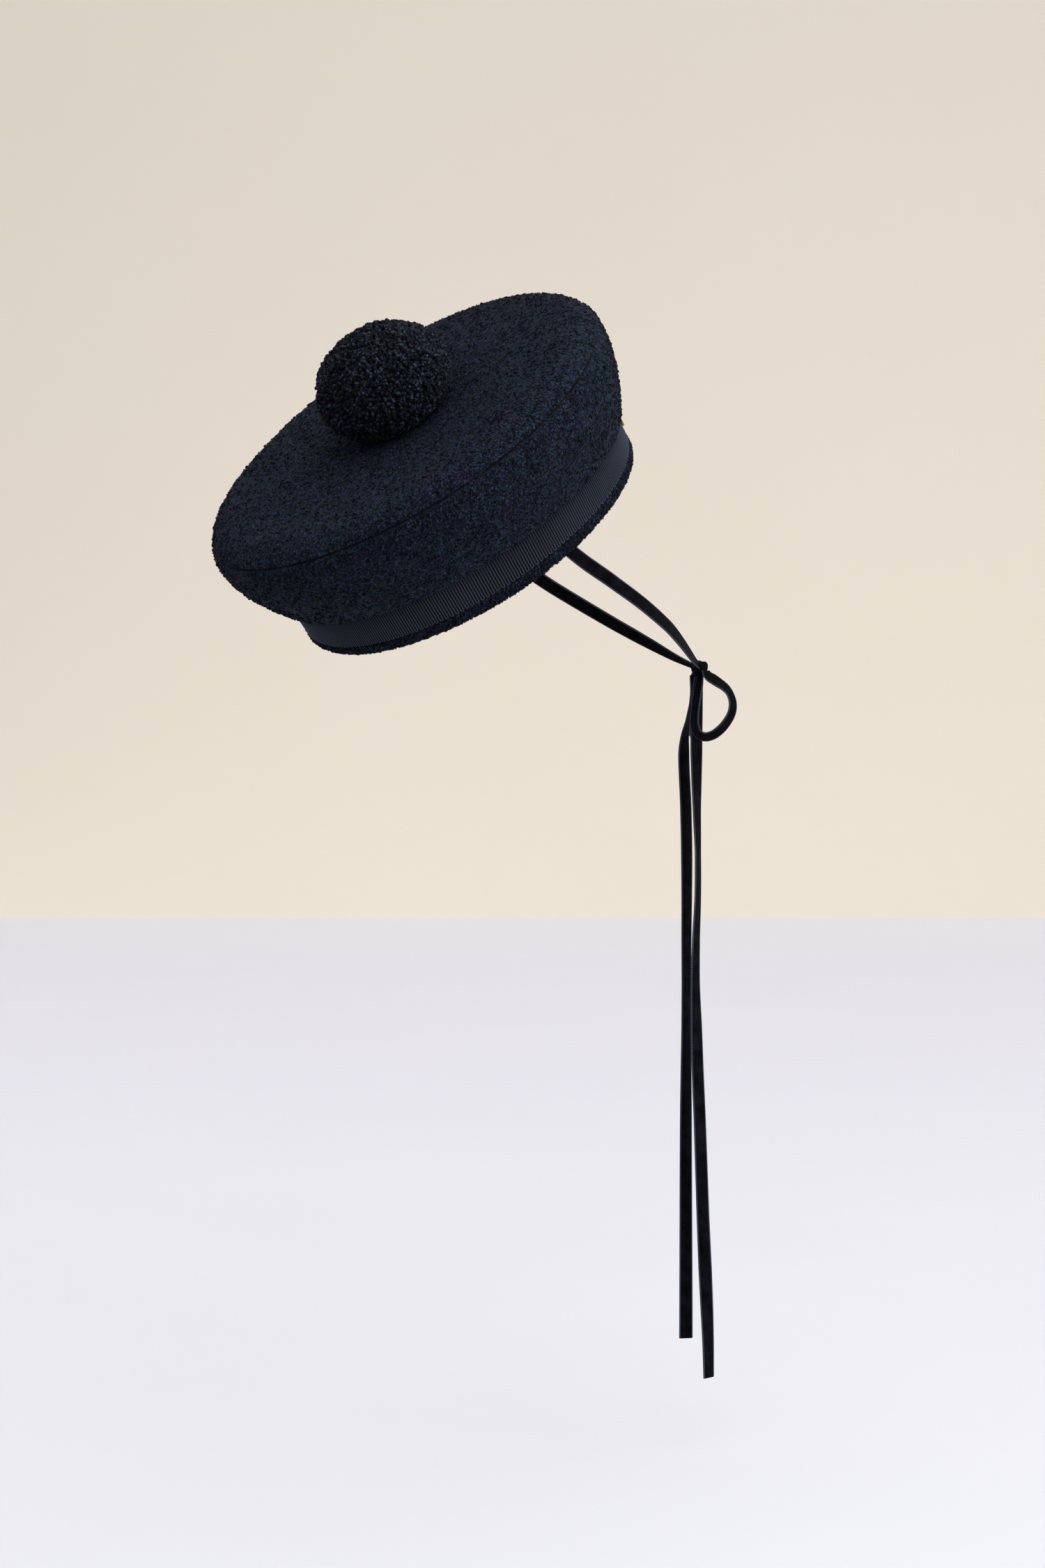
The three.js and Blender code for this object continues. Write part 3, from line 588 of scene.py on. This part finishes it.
def paint_seam_shade(bm):
    """Paints shade into the seam's groove between the panels: fainter towards the front, and broken where the wool
    hides it.
    """
    layer = bm.verts.layers.float.new("seam_groove_shade")
    for vert in bm.verts:
        near = abs(vert.co.z - SEAM) < 0.85 and math.hypot(vert.co.x, vert.co.y) > SEAM_RADIUS - 1.5
        hidden = noise.noise(Vector((vert.co.x, vert.co.y, 40)) * 0.11)
        share = 1.0 - 0.5 * max(0.0, vert.co.x / SEAM_RADIUS + 0.3) - 1.6 * hidden
        depth = 1 - abs(vert.co.z - SEAM) / 1.3
        vert[layer] = depth * min(1.0, max(0.0, share)) if near else 0.0


SEAM_BEND = math.asin((SEAM - WIDEST) / RIM_RISE)
SEAM_RADIUS = rim_spot(SEAM_BEND)[0]
SEAM_INSIDE = rim_spot(SEAM_BEND, CLOTH)[0] - 1.0
outside = [(side_radius(LIP_FOOT + (WIDEST - LIP_FOOT) * t), LIP_FOOT + (WIDEST - LIP_FOOT) * t)
           for t in np.linspace(0, 1, 80)]
outside += [rim_spot(a) for a in np.linspace(0.02, math.asin((SEAM - 1.2 - WIDEST) / RIM_RISE), 10)]
lip = [(OPENING[0] + LIP_IN + 0.1, LIP_FOOT + 1.4), (OPENING[0] + LIP_IN + 0.5, LIP_FOOT + 0.1),
       (OPENING[0] + LIP_IN + 1.4, LIP_FOOT - 0.5), (OPENING[0] + LIP_IN + 2.3, LIP_FOOT - 0.4)]
climb = even_steps(lip + outside, FINE)
pinch = [(SEAM_RADIUS, SEAM - 0.6), (SEAM_RADIUS - 0.5, SEAM - 0.2), (SEAM_RADIUS - 1.3, SEAM - 0.02),
         (SEAM_RADIUS - 2.4, SEAM)]
inner = [(SEAM_INSIDE, SEAM - 0.1), rim_spot(SEAM_BEND, CLOTH), rim_spot(0.0, CLOTH)]
inner += [(side_radius(z, CLOTH), z) for z in (WIDEST - 10, WIDEST - 20, WIDEST - 30)]
tuck = [(OPENING[0] + 1.5, BAND_HEIGHT + 2.2), (OPENING[0] + 1.6, BAND_HEIGHT + 0.4),
        (OPENING[0] + LIP_IN + 0.3, BAND_HEIGHT + 0.3)]
profile = climb + pinch + inner + tuck + [climb[0]]
bm = spin_profile(profile, ROUND)
round_height = bm.verts.layers.float.new("round_height")
for vert in bm.verts:
    face_at = side_radius(vert.co.z) if vert.co.z < WIDEST else SEAM_RADIUS - 0.2
    outer = math.hypot(vert.co.x, vert.co.y) > face_at - 1.0
    vert[round_height] = 1.0 if outer and vert.co.z < SEAM - 0.9 else 0.0
# Painted shade along the seam's groove.
paint_seam_shade(bm)
for vert in bm.verts:
    vert.co = seat(vert.co, crown_share(vert.co.z))
bmesh.ops.recalc_face_normals(bm, faces=bm.faces)
roughen(bm, lambda v: v[round_height] > 0.5, 0.55, seed=1)
scatter(bm, 7600, LOOP, sink=0.0, size=(0.65, 1.3), tilt=(0.2, 1.2), seed=SEED,
        keep=lambda f: all(v[round_height] > 0.5 for v in f.verts))
crown_side = piece("crown_side_boucle", bm, boucle, replaced=("crown_side",))

# %% [markdown]
# ## The crown's top
# The top panel is a flat oval that rolls over a round rim to the seam. Where the pompom is sewn on
# it is drawn in a little. Its outside is fine, its inside is coarse, and both meet at the seam.

# %% Make the crown's top
RIM_LINE = [rim_spot(a) for a in np.linspace(math.asin((SEAM + 1.0 - WIDEST) / RIM_RISE), math.pi / 2, 30)]
seam_edge = [(SEAM_RADIUS - 2.4, SEAM), (SEAM_RADIUS - 1.3, SEAM + 0.02), (SEAM_RADIUS - 0.6, SEAM + 0.2),
             (SEAM_RADIUS - 0.35, SEAM + 0.5)]
over = even_steps(RIM_LINE + [(1.2, TOP)], FINE_TOP)
under = [(0.0, TOP - CLOTH), (40, TOP - CLOTH), (80, TOP - CLOTH)]
under += [rim_spot(math.radians(bend), CLOTH) for bend in (90, 70, 50)] + [(SEAM_INSIDE, SEAM + 0.1)]
profile = under + seam_edge + over + [(0.0, TOP)]
bm = spin_profile(profile, ROUND)
round_height = bm.verts.layers.float.new("round_height")
for vert in bm.verts:
    r = math.hypot(vert.co.x, vert.co.y)
    bend = math.asin(min(1.0, max(0.0, (vert.co.z - WIDEST) / RIM_RISE)))
    is_outer = vert.co.z > TOP - 0.5 or r > rim_spot(bend)[0] - 1.0
    vert[round_height] = 1.0 if is_outer and vert.co.z > SEAM + 0.9 else 0.0
# Painted shade along the seam's groove.
paint_seam_shade(bm)
for vert in bm.verts:
    r = math.hypot(vert.co.x, vert.co.y)
    drawn = -0.9 * math.exp(-((r - 27) / 9) ** 2) if vert[round_height] > 0.5 else 0
    vert.co.z += drawn
    vert.co = seat(vert.co, 1.0)
bmesh.ops.recalc_face_normals(bm, faces=bm.faces)
roughen(bm, lambda v: v[round_height] > 0.5, 0.55, seed=2)
scatter(bm, 6000, LOOP, sink=0.0, size=(0.65, 1.3), tilt=(0.2, 1.2), seed=SEED + 1,
        keep=lambda f: all(v[round_height] > 0.5 for v in f.verts))
crown_top = piece("crown_top_boucle", bm, boucle, replaced=("crown_top",))

# %% [markdown]
# ## The headband
# The band is a doubled strip of the same cloth whose lower edge is rolled, so that a nubbly cord of
# wool shows under the ribbon. The rest of its outside lies behind the ribbon.

# %% Make the headband
def flare(height):
    return height / BAND_HEIGHT


EDGE_DROOP = 2.2
roll = [(0.0, 1.6), (0.35, 0.8), (1.0, 0.25), (2.05, 0.0), (3.0, 0.15), (3.75, 0.7), (4.2, 1.7),
        (4.25, 2.9), (3.95, 3.9), (3.4, 4.5), (3.0, 4.75)]
outline = even_steps(roll, 0.9) + [(3.0, 9.0), (3.0, 18.0), (3.0, BAND_HEIGHT), (0.0, BAND_HEIGHT),
                                   (0.0, 18.0), (0.0, 9.0)]
profile = [(OPENING[0] + out + flare(z), z) for out, z in outline]
bm = spin_profile(profile + [profile[0]], 520)
nubbly = bm.verts.layers.float.new("round_height")
for vert in bm.verts:
    out = math.hypot(vert.co.x, vert.co.y) - OPENING[0]
    vert[nubbly] = 1.0 if vert.co.z < 4.6 and out > 0.3 else 0.0
    droop = EDGE_DROOP * max(0.0, -vert.co.y / math.hypot(vert.co.x, vert.co.y))
    vert.co.z -= droop * min(1.0, max(0.0, (4.6 - vert.co.z) / 3.6))
    vert.co = seat(vert.co, 0.0)
bmesh.ops.recalc_face_normals(bm, faces=bm.faces)
roughen(bm, lambda v: v[nubbly] > 0.5, 0.4, seed=3, reach=0.5)
scatter(bm, 4800, LOOP, sink=0.0, size=(0.6, 1.15), tilt=(0.2, 1.3), seed=SEED + 2,
        keep=lambda f: all(v[nubbly] > 0.5 for v in f.verts))
headband = piece("headband_boucle", bm, boucle, replaced=("headband",))

# %% [markdown]
# ## The grosgrain ribbon
# Grosgrain has stout cross threads that show as ribs about 1.5 mm apart, and turn back at the edge
# in small round bends. Bump alone looks painted at this size, so the ribs are shaped: a flat grid
# is wrapped round the band, and its points stand proud along a thread that snakes up and down.

# %% Grosgrain, ribbed rayon ribbon
grosgrain, tree, shader = material("grosgrain_rayon")
rib = node(tree, "ShaderNodeAttribute", {"attribute_name": "rib"}).outputs["Fac"]
place = node(tree, "ShaderNodeTexCoord").outputs["Object"]
strand = node(tree, "ShaderNodeTexNoise", {"Scale": 1 / (0.4 * MM), "Detail": 2.0}, Vector=place).outputs["Fac"]
cast = node(tree, "ShaderNodeTexNoise", {"Scale": 1 / (35 * MM), "Detail": 2.0}, Vector=place).outputs["Fac"]
weave = node(tree, "ShaderNodeMath", {"operation": "MULTIPLY_ADD", 1: 0.35, 2: -0.17}, input0=strand).outputs[0]
patch = node(tree, "ShaderNodeMath", {"operation": "MULTIPLY_ADD", 1: 0.3}, input0=cast, input2=weave).outputs[0]
patch_centred = node(tree, "ShaderNodeMath", {"operation": "SUBTRACT", 1: 0.15}, input0=patch).outputs[0]
crest = node(tree, "ShaderNodeMath", {"operation": "ADD", "use_clamp": True}, input0=rib,
             input1=patch_centred).outputs[0]
# The ribbon's upper part, under the crown's lip, is darkened in its colour: painted shade.
painted_lip_shade = node(tree, "ShaderNodeAttribute", {"attribute_name": "painted_lip_shade"}).outputs["Fac"]
crest = node(tree, "ShaderNodeMath", {"operation": "MULTIPLY"}, input0=crest, input1=painted_lip_shade).outputs[0]
# Crests are lighter and grooves near black in colour: painted highlight on the crests and painted shade in the
# grooves, over the ribs' real shape, with a random cast and weave on top.
colour = node(tree, "ShaderNodeMix", {"data_type": "RGBA", 6: linear("010203"), 7: linear("3b4351")},
              input0=crest).outputs[2]
bump = node(tree, "ShaderNodeBump", {"Strength": 0.3, "Distance": 0.08 * MM}, Height=strand).outputs[0]
tree.links.new(colour, shader.inputs["Base Color"])
tree.links.new(bump, shader.inputs["Normal"])
shader.inputs["Roughness"].default_value = 0.55
shader.inputs["Specular IOR Level"].default_value = 0.08

# %% Wrap the ribbon round the band
RIBS = 414                    # 1.46 mm apart on the 605 mm round the ribbon
COLUMNS = 6                   # points across each rib
RIBBON_FOOT, RIBBON_WIDTH, RIBBON_IN, RIBBON_OUT = 5.1, 22.0, 3.3, 4.2
RIB_HEIGHT = 0.4
PITCH = 605 / RIBS
heights = [0.0, 0.18, 0.36, 0.55, 0.75, 1.0, 1.4] + list(np.linspace(3.5, 13.5, 5)) + [15.0, 16.5, 18.2,
    20.6, 21.0, 21.25, 21.45, 21.64, 21.82, 22.0]
bm = bmesh.new()
rib_layer = bm.verts.layers.float.new("rib")
lip_shade_layer = bm.verts.layers.float.new("painted_lip_shade")
rows_count, columns_count = len(heights), RIBS * COLUMNS
bmesh.ops.create_grid(bm, x_segments=columns_count, y_segments=rows_count - 1, size=0.5)


def rib_crest(column, height):
    """1 on the thread that snakes up and down across the ribbon, 0 in the grooves beside it; it shapes the ribs and
    sets their painted highlight and shade.
    """
    across_pitch = column / COLUMNS
    bend = PITCH / 2
    pair = (across_pitch + (0.0 if height < RIBBON_WIDTH / 2 else 1.0)) % 2.0
    from_edge = min(height, RIBBON_WIDTH - height)
    if from_edge >= bend:
        away = abs((across_pitch % 1.0) - 0.5) * PITCH
    else:
        middle = (pair - 1.0) * PITCH
        away = abs(math.hypot(middle, bend - from_edge) - bend)
    return max(0.0, 1 - (away / (PITCH * 0.27)) ** 2)


for vert in bm.verts:
    column = round((vert.co.x + 0.5) * columns_count)
    height = heights[round((vert.co.y + 0.5) * (rows_count - 1))]
    crest_here = rib_crest(column % columns_count, height)
    angle = 2 * math.pi * column / columns_count
    z = RIBBON_FOOT + height
    out = OPENING[0] + RIBBON_OUT - RIB_HEIGHT * 0.6 + RIB_HEIGHT * crest_here + flare(z)
    # The rib attribute lights the crests and darkens the grooves in colour: painted highlight and painted shade.
    vert[rib_layer] = crest_here
    # Painted shade under the lip: the colour factor is 0.3 at the lip and rises to 1.05 well below it.
    below_lip = max(0.0, LIP_FOOT - z)
    vert[lip_shade_layer] = 1.05 - 0.75 * math.exp(-below_lip / 4.5)
    vert.co = seat(Vector((out * math.cos(angle), out * math.sin(angle), z)), 0.0)
bmesh.ops.remove_doubles(bm, verts=bm.verts, dist=1e-4)
bmesh.ops.recalc_face_normals(bm, faces=bm.faces)
print("ribs:", RIBS, "pitch in mm:", round(PITCH, 2))

# %% Close the ribbon's back
back = spin_profile([(OPENING[0] + RIBBON_OUT - 0.25 + flare(RIBBON_FOOT), RIBBON_FOOT + 0.1),
                     (OPENING[0] + RIBBON_IN + flare(RIBBON_FOOT), RIBBON_FOOT),
                     (OPENING[0] + RIBBON_IN + flare(27.1), 27.1),
                     (OPENING[0] + RIBBON_OUT - 0.25 + flare(27.1), 27.0)], 200)
for vert in back.verts:
    vert.co = seat(vert.co, 0.0)
backing = bpy.data.meshes.new("ribbon_back")
back.to_mesh(backing)
back.free()
bm.from_mesh(backing)
bpy.data.meshes.remove(backing)
band_ribbon = piece("grosgrain_ribbon", bm, grosgrain, replaced=("grosgrain_band",))

# %% [markdown]
# ## The pompom
# The pompom is a ball of thousands of cut yarn ends, clipped round. Each end is a short fat tuft
# that points outwards, a little askew. A tuft is a cone with a few faces, and copies of it stand
# all over a core of the same wool. The core is flat below, where the ball is sewn to the crown.

# %% Make the pompom
BALL = (37.0, 40.5, 28.8)
BALL_RISE = 22.2
BALL_AT = Vector((0.2, -1.1, TOP + BALL_RISE))


def one_tuft(radius=0.95, depth=4.2):
    """A short, round-tipped yarn end that points along its own Z."""
    bm = bmesh.new()
    bmesh.ops.create_cone(bm, cap_ends=True, cap_tris=True, segments=5, radius1=radius * 0.8,
                          radius2=radius * 0.75, depth=depth)
    rings = [e for e in bm.edges if abs(e.verts[0].co.z - e.verts[1].co.z) > depth / 2]
    bmesh.ops.subdivide_edges(bm, edges=rings, cuts=1)
    for vert in bm.verts:
        if abs(vert.co.z) < 0.01:
            vert.co.x *= 1.3
            vert.co.y *= 1.3
            vert.co.z = depth * 0.22
        if vert.co.z > depth * 0.4 and vert.co.xy.length < 0.01:
            vert.co.z += 0.35
    bmesh.ops.triangulate(bm, faces=bm.faces)
    bottom = [f for f in bm.faces if all(v.co.z < -depth * 0.49 for v in f.verts)]
    bmesh.ops.delete(bm, geom=bottom, context="FACES")
    corners = np.array([v.co[:] for v in bm.verts])
    faces = np.array([[v.index for v in f.verts] for f in bm.faces])
    bm.free()
    return corners, faces


bm = bmesh.new()
bmesh.ops.create_icosphere(bm, subdivisions=5, radius=1.0)
bmesh.ops.scale(bm, vec=[side - 2.4 for side in BALL], verts=bm.verts)
bmesh.ops.bisect_plane(bm, geom=list(bm.verts) + list(bm.edges) + list(bm.faces), dist=1e-4,
                       plane_co=(0, 0, 0.5 - BALL_RISE), plane_no=(0, 0, -1), clear_outer=True)
bmesh.ops.holes_fill(bm, edges=[e for e in bm.edges if e.is_boundary], sides=0)
bmesh.ops.triangulate(bm, faces=[f for f in bm.faces if len(f.verts) > 4])
bmesh.ops.recalc_face_normals(bm, faces=bm.faces)
for vert in bm.verts:
    if vert.co.z > 1.0 - BALL_RISE:
        vert.co *= 1 + 0.03 * noise.noise(vert.co * 0.07) + 0.034 * noise.noise(vert.co * 0.26)
TUFT = one_tuft()
scatter(bm, 5400, TUFT, sink=-0.1, size=(0.75, 1.35), tilt=(0.0, 0.6), seed=SEED + 3,
        keep=lambda f: f.calc_center_median().z > 1.5 - BALL_RISE)
for vert in bm.verts:
    vert.co.z = max(vert.co.z, 0.35 - BALL_RISE)
    x, y = vert.co.x + BALL_AT.x, vert.co.y + BALL_AT.y
    vert.co = TIP @ Vector((x, y, vert.co.z + BALL_AT.z + x * LEAN[0] + y * LEAN[1]))
pompom = piece("pompom_yarn", bm, yarn, replaced=("pompom",))
print("faces in one tuft:", len(TUFT[1]))

# %% [markdown]
# ## The bar
# A plain gilt bar sits on the ribbon at the front. It is a thin box with softened edges, bent to
# the band. Its brass is polished, with the faint lines that polishing leaves along it.

# %% Gilt brass, polished
gilt, tree, shader = material("gilt_brass")
place = node(tree, "ShaderNodeTexCoord").outputs["Object"]
stretch = node(tree, "ShaderNodeMapping", {"Scale": (40, 6, 40)}, Vector=place).outputs[0]
lines = node(tree, "ShaderNodeTexNoise", {"Scale": 30.0, "Detail": 4.0}, Vector=stretch).outputs["Fac"]
rough = node(tree, "ShaderNodeMapRange", {"To Min": 0.16, "To Max": 0.34}, Value=lines).outputs[0]
colour = node(tree, "ShaderNodeMix", {"data_type": "RGBA", 6: linear("c99a54"), 7: linear("e2bd7c")},
              input0=lines).outputs[2]
tree.links.new(colour, shader.inputs["Base Color"])
tree.links.new(rough, shader.inputs["Roughness"])
shader.inputs["Metallic"].default_value = 1.0

# %% Make the bar
BAR_LONG, BAR_HIGH, BAR_DEEP, BAR_FOOT = 52.0, 5.0, 1.2, 9.5
bm = bmesh.new()
bmesh.ops.create_cube(bm, size=1.0)
bmesh.ops.scale(bm, vec=(BAR_DEEP, BAR_LONG, BAR_HIGH), verts=bm.verts)
bmesh.ops.bevel(bm, geom=list(bm.edges), offset=0.35, offset_type="OFFSET", affect="EDGES", segments=3,
                profile=0.5, material=-1)
long_edges = [e for e in bm.edges if abs(e.verts[0].co.y - e.verts[1].co.y) > BAR_LONG / 2]
bmesh.ops.subdivide_edges(bm, edges=long_edges, cuts=30)
for vert in bm.verts:
    z = BAR_FOOT + BAR_HIGH / 2 + vert.co.z
    out = OPENING[0] + RIBBON_OUT + 0.3 + BAR_DEEP / 2 + vert.co.x + flare(z)
    angle = math.asin(vert.co.y / (OPENING[1] + RIBBON_OUT + 0.3 + flare(z)))
    vert.co = seat(Vector((out * math.cos(angle), out * math.sin(angle), z)), 0.0)
bar = piece("gilt_front_bar", bm, gilt, replaced=("front_bar",))

# %% [markdown]
# ## The room
# A pale floor and a warm pale wall far behind stand for the studio. They aren't part of the hat.
# A broad soft sun from above the camera's right gives the shading, a side lamp lifts the ribbon and
# the near side, and a pale sky fills the rest. A sun lights floor and wall evenly, as a studio does.

# %% Floor and wall
def stage_plane(name, corners, low, high):
    """A flat stage piece with a faint plaster grain."""
    bm = bmesh.new()
    bm.faces.new([bm.verts.new(c) for c in corners])
    mesh = bpy.data.meshes.new(name)
    bm.to_mesh(mesh)
    bm.free()
    made = bpy.data.objects.new(name, mesh)
    bpy.context.scene.collection.objects.link(made)
    finish, tree, shader = material(name + "_paint")
    place = node(tree, "ShaderNodeTexCoord").outputs["Object"]
    grain = node(tree, "ShaderNodeTexNoise", {"Scale": 3.0, "Detail": 4.0}, Vector=place).outputs["Fac"]
    colour = node(tree, "ShaderNodeMix", {"data_type": "RGBA", 6: linear(low), 7: linear(high)},
                  input0=grain).outputs[2]
    tree.links.new(colour, shader.inputs["Base Color"])
    shader.inputs["Roughness"].default_value = 0.9
    shader.inputs["Specular IOR Level"].default_value = 0.1
    mesh.materials.append(finish)
    return made


FLOOR_AT = -0.527
WALL_FROM_CAMERA = 4.9
level_look = Vector((LOOK.x, LOOK.y, 0)).normalized()
foot = Vector((CAMERA_AT.x, CAMERA_AT.y, 0)) + level_look * WALL_FROM_CAMERA
PAPER = [(1.4, -0.5), (1.4, 2.5), (5.2, 3.5), (5.2, -1.2)]   # metres ahead and to the camera's right
below_camera = Vector((CAMERA_AT.x, CAMERA_AT.y, FLOOR_AT))
floor = stage_plane("floor", [below_camera + level_look * ahead + right * aside for ahead, aside in PAPER],
                    "dbdce3", "dfe0e7")
reach = right * 9
wall = stage_plane("wall", [foot - reach + Vector((0, 0, FLOOR_AT)), foot + reach + Vector((0, 0, FLOOR_AT)),
                            foot + reach + Vector((0, 0, 6)), foot - reach + Vector((0, 0, 6))],
                   "efe6d5", "f1e9d9")

# %% Lamps and sky
def lamp(name, at, size, power, aim=Vector((0, 0, 0))):
    """A square soft lamp that faces the hat."""
    light = bpy.data.lights.new(name, "AREA")
    light.size = size
    light.energy = power
    made = bpy.data.objects.new(name, light)
    made.location = at
    made.rotation_euler = (aim - Vector(at)).to_track_quat("-Z", "Y").to_euler()
    bpy.context.scene.collection.objects.link(made)
    return made


sun = bpy.data.lights.new("key_sun", "SUN")
sun.energy = 1.7
sun.angle = math.radians(90)
key = bpy.data.objects.new("key_sun", sun)
key.rotation_euler = Vector((-1.1, 1.15, -2.5)).to_track_quat("-Z", "Y").to_euler()
bpy.context.scene.collection.objects.link(key)
side = lamp("side_lamp", Vector((1.3, -1.9, 0.5)), 1.2, 20)
world = bpy.data.worlds.new("pale_sky")
world.use_nodes = True
tree = world.node_tree
above = node(tree, "ShaderNodeTexCoord").outputs["Generated"]
above = node(tree, "ShaderNodeSeparateXYZ", Vector=above).outputs["Z"]
above = node(tree, "ShaderNodeMapRange", {"From Min": -0.1, "From Max": 0.1}, Value=above).outputs[0]
sky = node(tree, "ShaderNodeMix", {"data_type": "RGBA", 6: linear("9c9ca0"), 7: linear("f2f1f4")},
           input0=above).outputs[2]
tree.links.new(sky, tree.nodes["Background"].inputs["Color"])
tree.nodes["Background"].inputs["Strength"].default_value = 0.80
bpy.context.scene.world = world
bpy.context.scene.view_settings.view_transform = "Standard"
